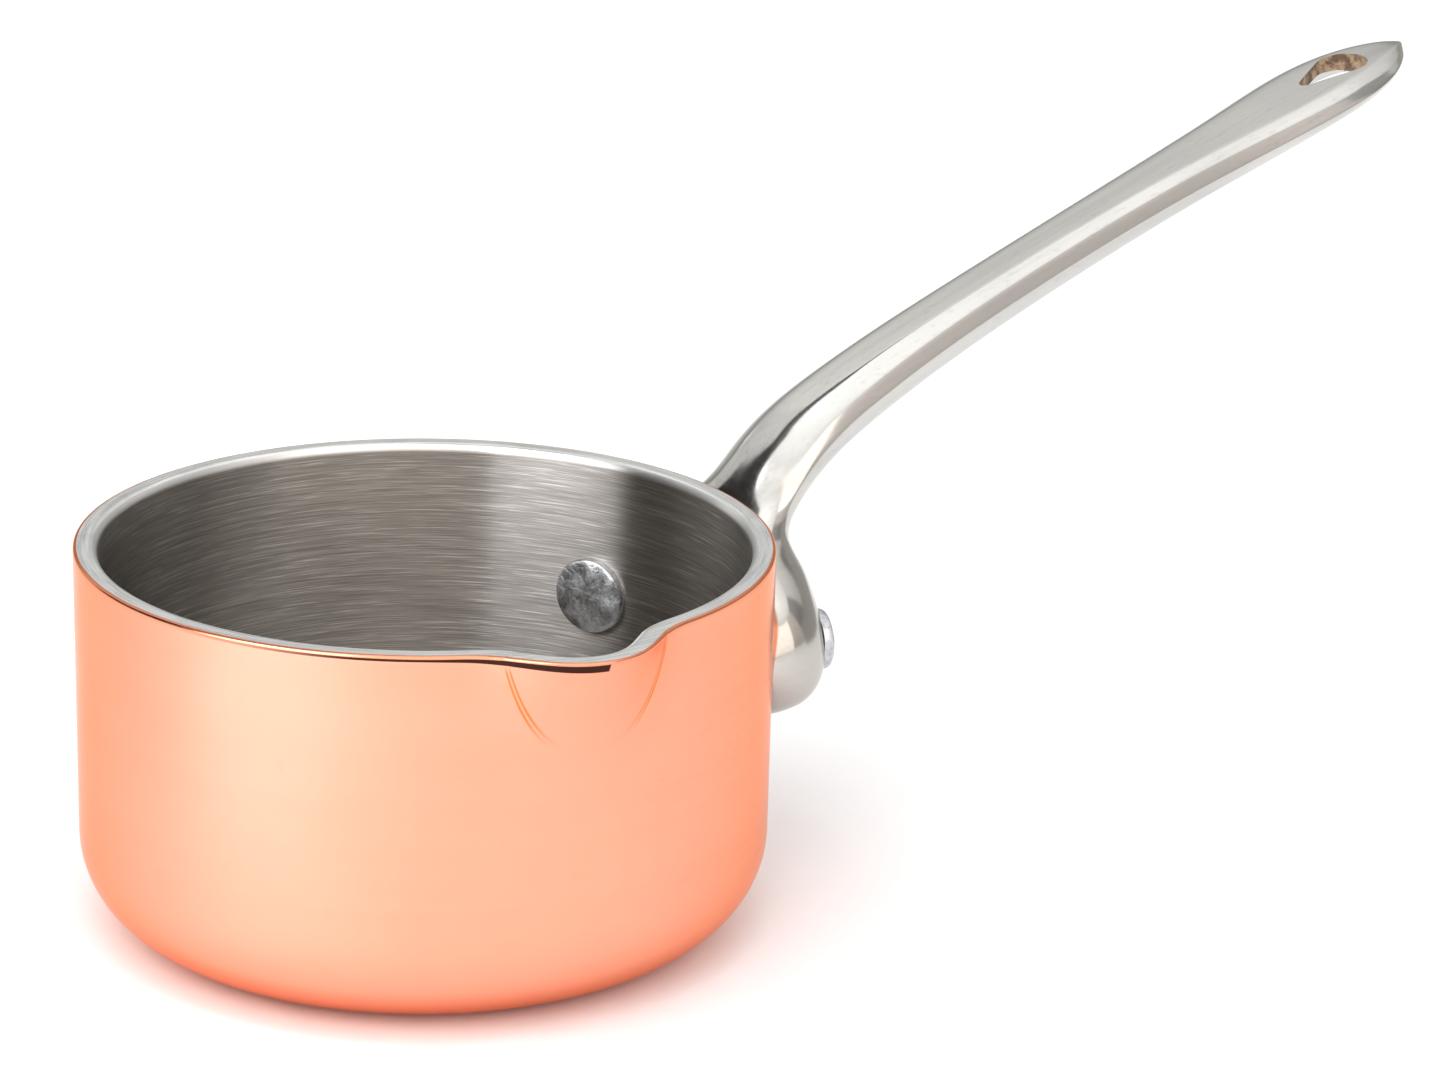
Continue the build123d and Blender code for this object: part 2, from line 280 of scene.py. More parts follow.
def copper_material():
    """Satin copper: fine turning marks, faint clouds and flecks; painted shade at the base, the rim and the
    lip's creases, and a painted dark reflection under the rim.
    """
    rosy = (0.905, 0.378, 0.250)
    warm = (0.895, 0.360, 0.232)
    pale = (0.925, 0.400, 0.268)
    base_painted_shade = (0.66, 0.20, 0.10)
    rim_painted_shade = (0.72, 0.26, 0.14)
    fleck_shade = (0.80, 0.28, 0.15)
    crease_painted_shade = (0.72, 0.20, 0.04)
    painted_dark_reflection = (0.045, 0.02, 0.015)
    shader = Shader("satin_copper", 1.0, (0.95, 0.40, 0.24))
    place = shader.position()[0]
    lines, height = turned_place(shader, 45.0)
    brushing = shader.noise(lines, 2600.0, 2.0)
    broad = shader.noise(lines, 160.0, 3.0)
    cloud = shader.noise(place, 38.0, 4.0)
    speck = shader.noise(place, 420.0, 3.0)
    color = shader.mix(shader.span(cloud, 0.3, 0.7, 0.0, 1.0), rosy, warm)
    color = shader.mix(shader.span(broad, 0.35, 0.7, 0.0, 0.35), color, pale)
    # Painted shade: the copper darkens towards the base, where the pan meets the floor.
    color = shader.mix(shader.span(height, 0.1 * MM, 1.6 * MM, 0.6, 0.0), color, base_painted_shade)
    # Painted shade on the copper's rounded top edge.
    rim = shader.span(height, (PAN_HEIGHT - 0.7) * MM, (PAN_HEIGHT - 0.1) * MM, 0.0, 0.6)
    color = shader.mix(rim, color, rim_painted_shade)
    color = shader.mix(shader.span(speck, 0.66, 0.74, 0.0, 0.18), color, fleck_shade)
    # Painted shade: two dark lines along the creases beside the lip.
    color = shader.mix(lip_crease(shader), color, crease_painted_shade)
    # Painted dark reflection: a near-black line under the rim.
    color = shader.mix(rim_line(shader), color, painted_dark_reflection)
    rough = shader.math(
        "ADD",
        shader.span(cloud, 0.3, 0.7, 0.20, 0.26),
        shader.span(brushing, 0.3, 0.7, -0.02, 0.02),
    )
    normal = shader.bump(cloud, 0.05, 0.4 * MM)
    normal = shader.bump(brushing, 0.05, 0.03 * MM, normal)
    brush_round(shader, 0.5)
    shader.surface.inputs["Specular Tint"].default_value = (1.0, 0.68, 0.54, 1)
    return shader.finish(color, rough, normal)


def lining_material():
    """Brushed steel: fine grain with long and short bright hairs, and a polished round at the rim."""
    dark = (0.285, 0.27, 0.25)
    light = (0.43, 0.41, 0.385)
    hair = (0.82, 0.80, 0.77)
    shadow = (0.26, 0.25, 0.24)
    polished = (0.86, 0.855, 0.845)
    shader = Shader("brushed_lining", 1.0, (0.52, 0.50, 0.48))
    place = shader.position()[0]
    lines, height = turned_place(shader, 110.0)
    short = turned_place(shader, 70.0)[0]
    fine = shader.noise(lines, 11000.0, 2.0, 0.6)
    coarse = shader.noise(short, 9500.0, 2.0, 0.6)
    patch = shader.noise(lines, 2600.0, 2.0)
    cloud = shader.noise(place, 60.0, 3.0)
    color = shader.mix(shader.span(fine, 0.32, 0.68, 0.0, 1.0), dark, light)
    color = shader.mix(shader.span(coarse, 0.56, 0.70, 0.0, 0.6), color, hair)
    color = shader.mix(shader.span(patch, 0.5, 0.8, 0.0, 0.16), color, shadow)
    top = shader.span(height, (PAN_HEIGHT - RIM_INNER_ROUND) * MM, (PAN_HEIGHT - 0.4) * MM, 0.0, 1.0)
    color = shader.mix(top, color, polished)
    rough = shader.math(
        "ADD",
        shader.span(coarse, 0.3, 0.7, 0.33, 0.40),
        shader.span(cloud, 0.3, 0.7, -0.03, 0.03),
    )
    normal = shader.bump(coarse, 0.12, 0.05 * MM)
    normal = shader.bump(fine, 0.15, 0.03 * MM, normal)
    brush_round(shader, 1.0)
    return shader.finish(color, rough, normal)


def rim_material():
    """The turned edge of the bonded sheet: pale metal with fine marks round it and dull patches."""
    dark = (0.74, 0.745, 0.74)
    light = (0.92, 0.92, 0.915)
    dull = (0.55, 0.55, 0.55)
    shader = Shader("turned_rim", 1.0, (0.80, 0.80, 0.80))
    place = shader.position()[0]
    lines = turned_place(shader, 50.0)[0]
    fine = shader.noise(lines, 6000.0, 2.0)
    cloud = shader.noise(place, 260.0, 3.0)
    color = shader.mix(shader.span(fine, 0.3, 0.7, 0.0, 1.0), dark, light)
    color = shader.mix(shader.span(cloud, 0.5, 0.75, 0.0, 0.35), color, dull)
    rough = shader.span(fine, 0.3, 0.7, 0.26, 0.38)
    normal = shader.bump(fine, 0.10, 0.03 * MM)
    return shader.finish(color, rough, normal)


def handle_material():
    """Polished casting: scratches and painted reflection streaks along the handle, and painted shade
    towards the pads.
    """
    bright = (0.625, 0.612, 0.585)
    grey = (0.575, 0.568, 0.55)
    scratch_shade = (0.45, 0.44, 0.42)
    painted_streak_shade = (0.44, 0.43, 0.405)
    root_painted_shade = (0.42, 0.385, 0.34)
    bar_slope = math.radians(17)
    shader = Shader("polished_casting", 1.0, (0.72, 0.71, 0.69))
    place, x, y, z = shader.position()
    along = shader.vector(shader.math("MULTIPLY", x, 0.16), y, z)
    scratch = shader.noise(along, 2400.0, 2.0)
    wave = shader.noise(place, 120.0, 2.0)
    cloud = shader.noise(place, 45.0, 4.0)
    grain = shader.noise(place, 1500.0, 3.0)
    run = shader.weighted(x, math.cos(bar_slope), z, math.sin(bar_slope))
    lift = shader.weighted(z, math.cos(bar_slope), x, math.sin(bar_slope), "SUBTRACT")
    reflection_streaks = shader.noise(shader.vector(shader.math("MULTIPLY", run, 0.04), y, lift), 480.0, 2.0)
    color = shader.mix(shader.span(cloud, 0.3, 0.7, 0.0, 1.0), bright, grey)
    color = shader.mix(shader.span(scratch, 0.55, 0.75, 0.0, 0.30), color, scratch_shade)
    # Painted reflection: soft dark streaks along the bar.
    color = shader.mix(shader.span(reflection_streaks, 0.45, 0.68, 0.0, 0.30), color, painted_streak_shade)
    # Painted shade: the handle darkens and warms low down, towards the pads by the pan.
    color = shader.mix(shader.span(z, 27 * MM, 40 * MM, 0.5, 0.0), color, root_painted_shade)
    rough = shader.math(
        "ADD",
        shader.span(cloud, 0.3, 0.7, 0.10, 0.17),
        shader.span(scratch, 0.4, 0.8, 0.0, 0.06),
    )
    normal = shader.bump(wave, 0.10, 0.2 * MM)
    normal = shader.bump(grain, 0.035, 0.03 * MM, normal)
    normal = shader.bump(scratch, 0.04, 0.03 * MM, normal)
    return shader.finish(color, rough, normal)


def hole_material():
    """Unpolished casting skin inside the hanging hole, brown and blotchy."""
    dark = (0.115, 0.075, 0.052)
    tan = (0.46, 0.34, 0.225)
    rust = (0.30, 0.15, 0.09)
    shader = Shader("raw_casting", 0.55, (0.30, 0.22, 0.15))
    place = shader.position()[0]
    blotch = shader.noise(place, 700.0, 4.0, 0.65)
    grain = shader.noise(place, 3200.0, 4.0, 0.7)
    color = shader.mix(shader.span(blotch, 0.38, 0.62, 0.0, 1.0), dark, tan)
    color = shader.mix(shader.span(grain, 0.45, 0.7, 0.0, 0.6), color, rust)
    rough = shader.span(grain, 0.3, 0.7, 0.42, 0.72)
    normal = shader.bump(blotch, 0.5, 0.3 * MM)
    normal = shader.bump(grain, 0.5, 0.1 * MM, normal)
    return shader.finish(color, rough, normal)


def rivet_material():
    """Set rivet heads: bluish grey with shallow hammer dents and fine dark grain."""
    dark = (0.40, 0.415, 0.44)
    light = (0.68, 0.70, 0.73)
    grain_shade = (0.30, 0.30, 0.31)
    shader = Shader("set_rivet", 1.0, (0.50, 0.50, 0.52))
    place = shader.position()[0]
    dent = shader.noise(place, 520.0, 5.0, 0.68)
    grain = shader.noise(place, 3000.0, 3.0)
    color = shader.mix(shader.span(dent, 0.35, 0.65, 0.0, 1.0), dark, light)
    color = shader.mix(shader.span(grain, 0.5, 0.75, 0.0, 0.4), color, grain_shade)
    rough = shader.span(dent, 0.3, 0.7, 0.26, 0.46)
    normal = shader.bump(dent, 0.7, 0.3 * MM)
    normal = shader.bump(grain, 0.2, 0.05 * MM, normal)
    return shader.finish(color, rough, normal)


def floor_material():
    """Matt white card with a trace of grain."""
    white = (0.925, 0.925, 0.925)
    shade = (0.905, 0.905, 0.905)
    shader = Shader("pale_floor", 0.0, (0.90, 0.90, 0.90))
    place = shader.position()[0]
    grain = shader.noise(place, 260.0, 3.0)
    rough = shader.span(grain, 0.3, 0.7, 0.6, 0.7)
    return shader.finish(shader.mix(grain, shade, white), rough, shader.bump(grain, 0.02, 0.2 * MM))


# ---- Mesh helpers ---------------------------------------------------------------------------------
def make_object(name, vertices, faces, materials, sharp_degrees=None):
    """A smooth mesh piece from points in millimetres, with edges over the given angle kept sharp."""
    mesh = bpy.data.meshes.new(name)
    mesh.from_pydata([tuple(MM * c for c in v) for v in vertices], [], faces)
    mesh.validate()
    piece = bpy.data.objects.new(name, mesh)
    bpy.context.scene.collection.objects.link(piece)
    for material in materials:
        mesh.materials.append(material)
    mesh.shade_smooth()
    if sharp_degrees is not None:
        mesh.set_sharp_from_angle(angle=math.radians(sharp_degrees))
    return piece


def adopt(piece, node):
    """Rides a piece on the one body and hides the CAD node whose place it takes."""
    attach(piece, "root")
    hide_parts(node)


def row_faces(row_count, columns):
    """Quads between rows of points that each go once round."""
    faces = []
    for row in range(row_count - 1):
        for column in range(columns):
            after = (column + 1) % columns
            low, high = row * columns, (row + 1) * columns
            faces.append((low + column, low + after, high + after, high + column))
    return faces


def add_cap(vertices, faces, centre, row, columns):
    """Closes the first or the last row with triangles round a centre point."""
    vertices.append(centre)
    pole = len(vertices) - 1
    for column in range(columns):
        after = (column + 1) % columns
        pair = (row * columns + after, row * columns + column)
        faces.append((pole, *pair) if row == 0 else (pole, *pair[::-1]))


# ---- Pan body -------------------------------------------------------------------------------------
# The groove beside the lip shows where the distances outside the two rounds add up to more than
# -GROOVE_START, and fades in over GROOVE_FADE.
GROOVE_START = 5
GROOVE_FADE = 3
# The wall is looked for from this far inside its plain radius, over this distance outwards.
SEARCH_INSIDE = 2.0
SEARCH_RANGE = 9.0
HALVINGS = 30
# Rows of the wall's meshes lie closer together above this height, where the lip begins.
PLAIN_TOP = 22.0
CLOSE_START = 22.6
RIM_GAP = 0.25                 # between the highest wall row and the first rim row
SHARP_DEGREES = 50             # edges of the pan and handle steeper than this stay sharp


def wall_gap(azimuth, height, reach):
    """Distance outside the pan's outer wall, with the lip's tilted round blended into it."""
    turn = azimuth - LIP_AZIMUTH
    centre = LIP_AXIS - (PAN_HEIGHT - height) * math.tan(LIP_LEAN)
    body = reach - PAN_RADIUS
    ahead = (reach * np.cos(turn) - centre) * math.cos(LIP_LEAN)
    lip = np.hypot(ahead, reach * np.sin(turn)) - LIP_RADIUS
    apart = body - lip
    overlap = np.maximum(LIP_BLEND - np.abs(apart), 0)
    near = np.clip((lip + body + GROOVE_START) / GROOVE_FADE, 0, 1)
    groove = CREASE_DEPTH * np.exp(-((apart / CREASE_WIDTH) ** 2)) * near
    return np.minimum(body, lip) - overlap**2 / (4 * LIP_BLEND) + groove


def wall_reach(azimuth, height, inset):
    """Distance from the pan's axis out to a layer surface of the wall, lip included."""
    low = np.full_like(azimuth, PAN_RADIUS - inset - SEARCH_INSIDE)
    high = low + SEARCH_RANGE
    for _ in range(HALVINGS):
        middle = (low + high) / 2
        outside = wall_gap(azimuth, height, middle) > -inset
        high = np.where(outside, middle, high)
        low = np.where(outside, low, middle)
    return (low + high) / 2


def pan_azimuths():
    """Columns of the pan's meshes, closer together across the lip."""
    spread = math.radians(30)
    fine = np.linspace(-spread, spread, 121)
    plain = np.linspace(spread, 2 * math.pi - spread, 151)[1:-1]
    return LIP_AZIMUTH + np.concatenate([fine, plain])


AZIMUTHS = pan_azimuths()


def surface_rows(inset, top):
    """Rows of one layer surface, from near the centre of the base up to a height below the rim."""
    flat = PAN_RADIUS - CORNER
    rows = [(np.full_like(AZIMUTHS, flat * share), inset) for share in (0.12, 0.3, 0.5, 0.7, 0.85, 0.95)]
    for angle in np.linspace(0, math.pi / 2, 15)[:-1]:
        reach = flat + (CORNER - inset) * math.sin(angle)
        rows.append((np.full_like(AZIMUTHS, reach), CORNER - (CORNER - inset) * math.cos(angle)))
    for height in [*np.linspace(CORNER, PLAIN_TOP, 8), *np.linspace(CLOSE_START, top, 34)]:
        rows.append((wall_reach(AZIMUTHS, height, inset), height))
    return rows


def layer_object(name, outer, inner, rim, materials):
    """One closed layer of the bonded wall: its outer face, its edge at the rim, its inner face."""
    outside = surface_rows(outer, rim[0][1] - RIM_GAP)
    inside = surface_rows(inner, rim[-1][1] - RIM_GAP)
    edge = [(wall_reach(AZIMUTHS, height, inset), height) for inset, height in rim]
    rows = outside + edge + inside[::-1]
    columns = len(AZIMUTHS)
    vertices = []
    for reach, height in rows:
        vertices += list(zip(reach * np.cos(AZIMUTHS), reach * np.sin(AZIMUTHS), np.full(columns, height)))
    faces = row_faces(len(rows), columns)
    add_cap(vertices, faces, (0, 0, outer), 0, columns)
    add_cap(vertices, faces, (0, 0, inner), len(rows) - 1, columns)
    return make_object(name, vertices, faces, materials, SHARP_DEGREES)


def rounded_rim():
    """Rim edges of the three layers as (inset, height) pairs."""
    top = PAN_HEIGHT
    copper = []
    for angle in np.linspace(0, math.pi / 2, 6):
        inset = RIM_OUTER_ROUND * (1 - math.cos(angle))
        copper.append((inset, top - RIM_OUTER_ROUND * (1 - math.sin(angle))))
    copper.append((COPPER_INSET, top))
    start = WALL - RIM_INNER_ROUND
    bend = []
    for angle in np.linspace(0, math.pi / 2, 13):
        inset = start + RIM_INNER_ROUND * math.sin(angle)
        bend.append((inset, top - RIM_INNER_ROUND * (1 - math.cos(angle))))
    seam = min(range(len(bend)), key=lambda index: abs(bend[index][0] - STEEL_INSET))
    # Rows just inside both ends of the flat keep its shading flat.
    flat = [(COPPER_INSET, top), (COPPER_INSET + 0.15, top), (start - 0.1, top)]
    return copper, flat + bend[: seam + 1], bend[seam:]


copper_rim, core_rim, lining_rim = rounded_rim()
copper_look = copper_material()
rim_look = rim_material()
lining_look = lining_material()
copper_skin = layer_object("copper_skin", 0.0, COPPER_INSET, copper_rim, [copper_look])
adopt(copper_skin, "copper_shell")
core_ring = layer_object("core_layer", COPPER_INSET, STEEL_INSET, core_rim, [rim_look])
adopt(core_ring, "aluminium_core")
lining = layer_object("steel_lining", STEEL_INSET, WALL, lining_rim, [lining_look])
adopt(lining, "steel_liner")


# ---- Handle: a quad cage, subdivided ----------------------------------------------------------------
# Stations along the bar: distance out, height, slope in degrees, width, thickness, and the bevel's part of
# the half width and of the thickness.
BAR_STATIONS = [
    (43.4, 36.3, 58.0, 12.6, 5.2, 0.60, 0.34),
    (46.1, 39.2, 43.0, 12.0, 5.6, 0.62, 0.32),
    (49.7, 41.85, 31.0, 11.2, 5.7, 0.60, 0.29),
    (54.5, 44.3, 24.5, 10.3, 5.4, 0.57, 0.26),
    (64.5, 48.35, 19.5, 9.3, 5.0, 0.53, 0.22),
    (78.0, 52.95, 18.2, 8.6, 4.7, 0.50, 0.20),
    (93.0, 57.75, 17.8, 8.6, 4.5, 0.47, 0.19),
    (106.0, 61.75, 17.2, 9.4, 4.2, 0.43, 0.19),
    (117.0, 64.95, 16.6, 11.1, 3.9, 0.40, 0.20),
    (126.0, 67.75, 15.8, 13.0, 3.5, 0.38, 0.22),
    (133.0, 69.9, 14.8, 13.8, 3.2, 0.38, 0.25),
    (139.0, 71.6, 13.0, 11.6, 2.8, 0.40, 0.27),
    (143.6, 72.7, 6.0, 6.4, 2.3, 0.42, 0.30),
    (146.6, 73.15, -6.0, 1.5, 1.6, 0.45, 0.32),
]
BAR_SWELL = 1.05             # a subdivided cage shrinks a little, so its rings start wider
UNDER_SHARE = 0.16           # the underside's edges lie in by this part of the half width
UNDER_RISE = 0.48            # the widest line lies up by this part of the thickness
SIDE_LEAN = 0.84             # the sides lean in towards the top
# Crease weights of the lines along the bar, by cage point counted from the middle of the underside. They
# grow to full over the first stations.
EDGE_CREASES = {1: 0.3, 2: 0.4, 3: 0.45, 4: 0.25, 6: 0.45, 7: 0.45, 8: 0.4, 9: 0.3}
CREASE_STATIONS = 4
SUBDIVISIONS = 4


def slope_axes(slope):
    """Unit vectors along and square to a line that climbs outwards at an angle."""
    return Vector((math.cos(slope), 0, math.sin(slope))), Vector((-math.sin(slope), 0, math.cos(slope)))


def bar_ring(reach, height, slope, width, thickness, bevel_share, bevel_drop):
    """Cage points round the bar at one station, starting from the middle of the underside."""
    half, deep = BAR_SWELL * width / 2, BAR_SWELL * thickness / 2
    side = [
        (half * (1 - UNDER_SHARE), -deep),
        (half, -deep + thickness * UNDER_RISE),
        (half * SIDE_LEAN, deep - thickness * bevel_drop),
        (half * (1 - bevel_share), deep),
    ]
    outline = [(0, -deep)] + side + [(0, deep)] + [(-y, n) for y, n in reversed(side)]
    _, up = slope_axes(math.radians(slope))
    centre = Vector((reach, 0, height))
    return [centre + Vector((0, y, 0)) + up * n for y, n in outline]


def on_wall(around, height, reach):
    """A point at an arc distance from the handle's plane, a height, and a distance from the pan's axis."""
    angle = around / ((PAN_RADIUS + BOSS_FACE) / 2)
    return Vector((reach * math.cos(angle), reach * math.sin(angle), height))


# Half of the ring of cage points where the bar splits into its legs, from the middle of the underside
# round to the middle of the side that faces the pan.
SPLIT_RING = [
    (44.9, 0.0, 31.2), (44.6, 4.2, 32.2), (42.6, 7.2, 33.4), (39.9, 7.2, 34.6), (38.6, 4.2, 34.6),
    (38.2, 0.0, 33.4),
]
CROTCH = (40.8, 0.0, 28.6)     # the middle of the web between the legs
# Leg rings: outer end (around, height), crotch end (around, height), inner reach, outer reach, and how far
# in from its ends the outer face starts.
LEG_RINGS = [
    ((10.4, 32.4), (4.9, 26.2), 35.9, 44.2, 0.20),
    ((14.9, 31.0), (6.1, 21.6), 35.1, 43.8, 0.25),
    ((20.0, 27.6), (9.0, 16.8), 34.5, 44.1, 0.32),
    ((20.3, 20.9), (14.9, 15.4), 34.4, 41.0, 0.36),
]
# Where a leg's points lie between its inner and outer reach, at its crotch end and its outer end, and where
# its inner face's corners lie between those ends.
CROTCH_END_DEPTH = 0.42
OUTER_END_DEPTHS = (0.52, 0.16)
INNER_FACE_SHARES = (0.86, 0.14)


def leg_ring(outer_end, crotch_end, inner, outer, inset):
    """Seven cage points round a leg, in the order of the split ring's half."""
    def at(share, reach):
        around = crotch_end[0] + (outer_end[0] - crotch_end[0]) * share
        height = crotch_end[1] + (outer_end[1] - crotch_end[1]) * share
        return on_wall(around, height, reach)

    depth = outer - inner
    return [
        at(0.0, inner + depth * CROTCH_END_DEPTH),
        at(inset, outer),
        at(1 - inset, outer),
        at(1.0, inner + depth * OUTER_END_DEPTHS[0]),
        at(1.0, inner + depth * OUTER_END_DEPTHS[1]),
        at(INNER_FACE_SHARES[0], inner),
        at(INNER_FACE_SHARES[1], inner),
    ]


def build_cage():
    """The handle's cage: rings along the bar, then down each leg from the ring where the bar splits."""
    cage = bmesh.new()
    crease = cage.edges.layers.float.new("crease_edge")

    def ring(points):
        return [cage.verts.new(Vector(p) * MM) for p in points]

    def bridge(first, second):
        count = len(first)
        for index in range(count):
            after = (index + 1) % count
            cage.faces.new((first[index], first[after], second[after], second[index]))

    split = ring(SPLIT_RING + [(x, -y, z) for x, y, z in reversed(SPLIT_RING[1:-1])])
    rings = [split] + [ring(bar_ring(*station)) for station in BAR_STATIONS]
    for first, second in zip(rings, rings[1:]):
        bridge(first, second)
    tip = rings[-1]
    for quad in ((9, 0, 1, 2), (8, 9, 2, 3), (7, 8, 3, 4), (6, 7, 4, 5)):
        cage.faces.new([tip[index] for index in quad])
    crotch = cage.verts.new(Vector(CROTCH) * MM)
    for mirror in (1, -1):
        order = range(0, 6) if mirror == 1 else (0, 9, 8, 7, 6, 5)
        last = [crotch] + [split[index] for index in order]
        for spec in LEG_RINGS:
            points = [Vector((p.x, p.y * mirror, p.z)) for p in leg_ring(*spec)]
            current = ring(points)
            bridge(last, current)
            last = current
        cage.faces.new(last)
    for index, weight in EDGE_CREASES.items():
        for step, (first, second) in enumerate(zip(rings, rings[1:])):
            edge = cage.edges.get((first[index], second[index]))
            edge[crease] = weight * min(1.0, step / CREASE_STATIONS)
    bmesh.ops.recalc_face_normals(cage, faces=cage.faces[:])
    return cage


CUTTER_REACH = 6.0             # the cutters reach this far past the blade's middle
# The channel under the blade, round the hanging hole. Its ends are measured along it from the origin.
HOLLOW_SLOPE = math.radians(14.8)
HOLLOW_ORIGIN = (131.5, 0, 69.65)
HOLLOW_ENDS = (-15.0, 10.0)
HOLLOW_HALF_WIDTH = 4.9
HOLLOW_TAPER = 0.45            # part of the width lost towards both ends
HOLLOW_RISE = 2.4              # height of its arched top over its edges
HOLLOW_EDGE_DROP = 2.5         # its edges lie this far below the blade's middle


def hole_cutter():
    """A teardrop prism through the blade, square to it."""
    sine = (HOLE_ROUND[1] - HOLE_APEX[1]) / (HOLE_ROUND[0] - HOLE_APEX[0])
    tangent = math.acos(sine)
    outline = []
    for centre, radius, start, stop, count in (
        (HOLE_ROUND[0], HOLE_ROUND[1], -math.pi + tangent, math.pi - tangent, 40),
        (HOLE_APEX[0], HOLE_APEX[1], math.pi - tangent, math.pi + tangent, 14),
    ):
        for angle in np.linspace(start, stop, count):
            outline.append((centre + radius * math.cos(angle) - HOLE_ROUND[0], radius * math.sin(angle)))
    along, up = slope_axes(HOLE_SLOPE)
    centre = Vector((HOLE_ROUND[0], 0, HOLE_LEVEL))
    vertices = []
    for level in (-CUTTER_REACH, CUTTER_REACH):
        vertices += [centre + along * s + Vector((0, t, 0)) + up * level for s, t in outline]
    count = len(outline)
    faces = [tuple(reversed(range(count))), tuple(range(count, 2 * count))]
    faces += [(i, (i + 1) % count, count + (i + 1) % count, count + i) for i in range(count)]
    return vertices, faces


def hollow_cutter():
    """The shallow channel cast into the blade's underside, round the hanging hole."""
    along, up = slope_axes(HOLLOW_SLOPE)
    origin = Vector(HOLLOW_ORIGIN)
    start, stop = HOLLOW_ENDS
    across = np.linspace(-1, 1, 21)
    rows = []
    for run in np.linspace(start, stop, 27):
        share = (run - (start + stop) / 2) / ((stop - start) / 2)
        half = HOLLOW_HALF_WIDTH * (1 - HOLLOW_TAPER * abs(share) ** 3)
        rise = HOLLOW_RISE * (1 - share**6)
        rows.append([(run, half * t, rise * (1 - t**8) - HOLLOW_EDGE_DROP) for t in across])
    top, bottom = [], []
    for row in rows:
        for s, t, n in row:
            level = origin + along * s + Vector((0, t, 0))
            top.append(level + up * n)
            bottom.append(level - up * CUTTER_REACH)
    width, count = len(across), len(top)
    faces = []
    for row in range(len(rows) - 1):
        for column in range(width - 1):
            at = row * width + column
            faces.append((at, at + width, at + width + 1, at + 1))
            faces.append(tuple(count + i for i in (at, at + 1, at + width + 1, at + width)))
    edge = list(range(width))
    edge += [row * width + width - 1 for row in range(1, len(rows))]
    edge += [count - 2 - i for i in range(width - 1)]
    edge += [row * width for row in range(len(rows) - 2, 0, -1)]
    for first, second in zip(edge, edge[1:] + edge[:1]):
        faces.append((first, second, count + second, count + first))
    return top + bottom, faces


def apply_modifiers(piece):
    """Replaces a piece's mesh by its evaluated one, and clears its modifiers."""
    graph = bpy.context.evaluated_depsgraph_get()
    mesh = bpy.data.meshes.new_from_object(piece.evaluated_get(graph))
    piece.modifiers.clear()
    piece.data = mesh


cast_look = handle_material()
hole_look = hole_material()
cage = build_cage()
handle_mesh = bpy.data.meshes.new("cast_handle")
cage.to_mesh(handle_mesh)
cage.free()
handle_mesh.materials.append(cast_look)
handle_mesh.materials.append(hole_look)
cast_handle = bpy.data.objects.new("cast_handle", handle_mesh)
bpy.context.scene.collection.objects.link(cast_handle)
subdivide = cast_handle.modifiers.new("subdivide", "SUBSURF")
subdivide.levels = SUBDIVISIONS
apply_modifiers(cast_handle)
cast_handle.data.shade_smooth()

for name, shape, look in (("hollow_cutter", hollow_cutter(), 0), ("hole_cutter", hole_cutter(), 1)):
    cutter = make_object(name, *shape, [cast_look, hole_look])
    for face in cutter.data.polygons:
        face.material_index = look
    cut = cast_handle.modifiers.new("cut", "BOOLEAN")
    cut.object = cutter
    cut.solver = "EXACT"
    apply_modifiers(cast_handle)
    bpy.data.objects.remove(cutter)
cast_handle.data.shade_smooth()
cast_handle.data.set_sharp_from_angle(angle=math.radians(SHARP_DEGREES))
adopt(cast_handle, "handle")


# ---- Rivets -----------------------------------------------------------------------------------------
HEAD_EDGE = 0.35               # size of the heads' rounded edges
RIVET_STEPS = 72
RIVET_SHARP_DEGREES = 40
# Points this far past the lining and past the pad belong to the heads' faces.
INNER_FACE_GAP = 0.3
OUTER_FACE_GAP = 0.6
# Hammer marks: their fineness, the shift that makes the two rivets differ, and how far they swell the
# heads' edges and dent the inner and the outer face.
HAMMER_SCALE = 0.55
HAMMER_SHIFT = 40
HAMMER_SWELL = 0.012
HAMMER_INNER = 0.10
HAMMER_OUTER = 0.06


def rivet_profile(liner):
    """Turned profile as (radius, distance out), from the inner head's middle to the outer head's."""
    inner, outer = liner - INNER_HEAD_THICKNESS, BOSS_FACE + OUTER_HEAD_THICKNESS
    return [
        (0.9, inner - 0.12),
        (1.9, inner - 0.08),
        (2.8, inner - 0.02),
        (INNER_HEAD_RADIUS - HEAD_EDGE, inner + 0.03),
        (INNER_HEAD_RADIUS - 0.1, inner + 0.13),
        (INNER_HEAD_RADIUS, inner + HEAD_EDGE),
        (INNER_HEAD_RADIUS, liner),
        (SHANK_RADIUS, liner + 0.02),
        (SHANK_RADIUS, BOSS_FACE - 0.05),
        (OUTER_HEAD_RADIUS, BOSS_FACE - 0.05),
        (OUTER_HEAD_RADIUS + 0.03, BOSS_FACE + 0.5),
        (OUTER_HEAD_RADIUS, outer - HEAD_EDGE),
        (OUTER_HEAD_RADIUS - 0.1, outer - 0.12),
        (OUTER_HEAD_RADIUS - HEAD_EDGE, outer - 0.02),
        (2.1, outer),
        (1.1, outer),
    ]


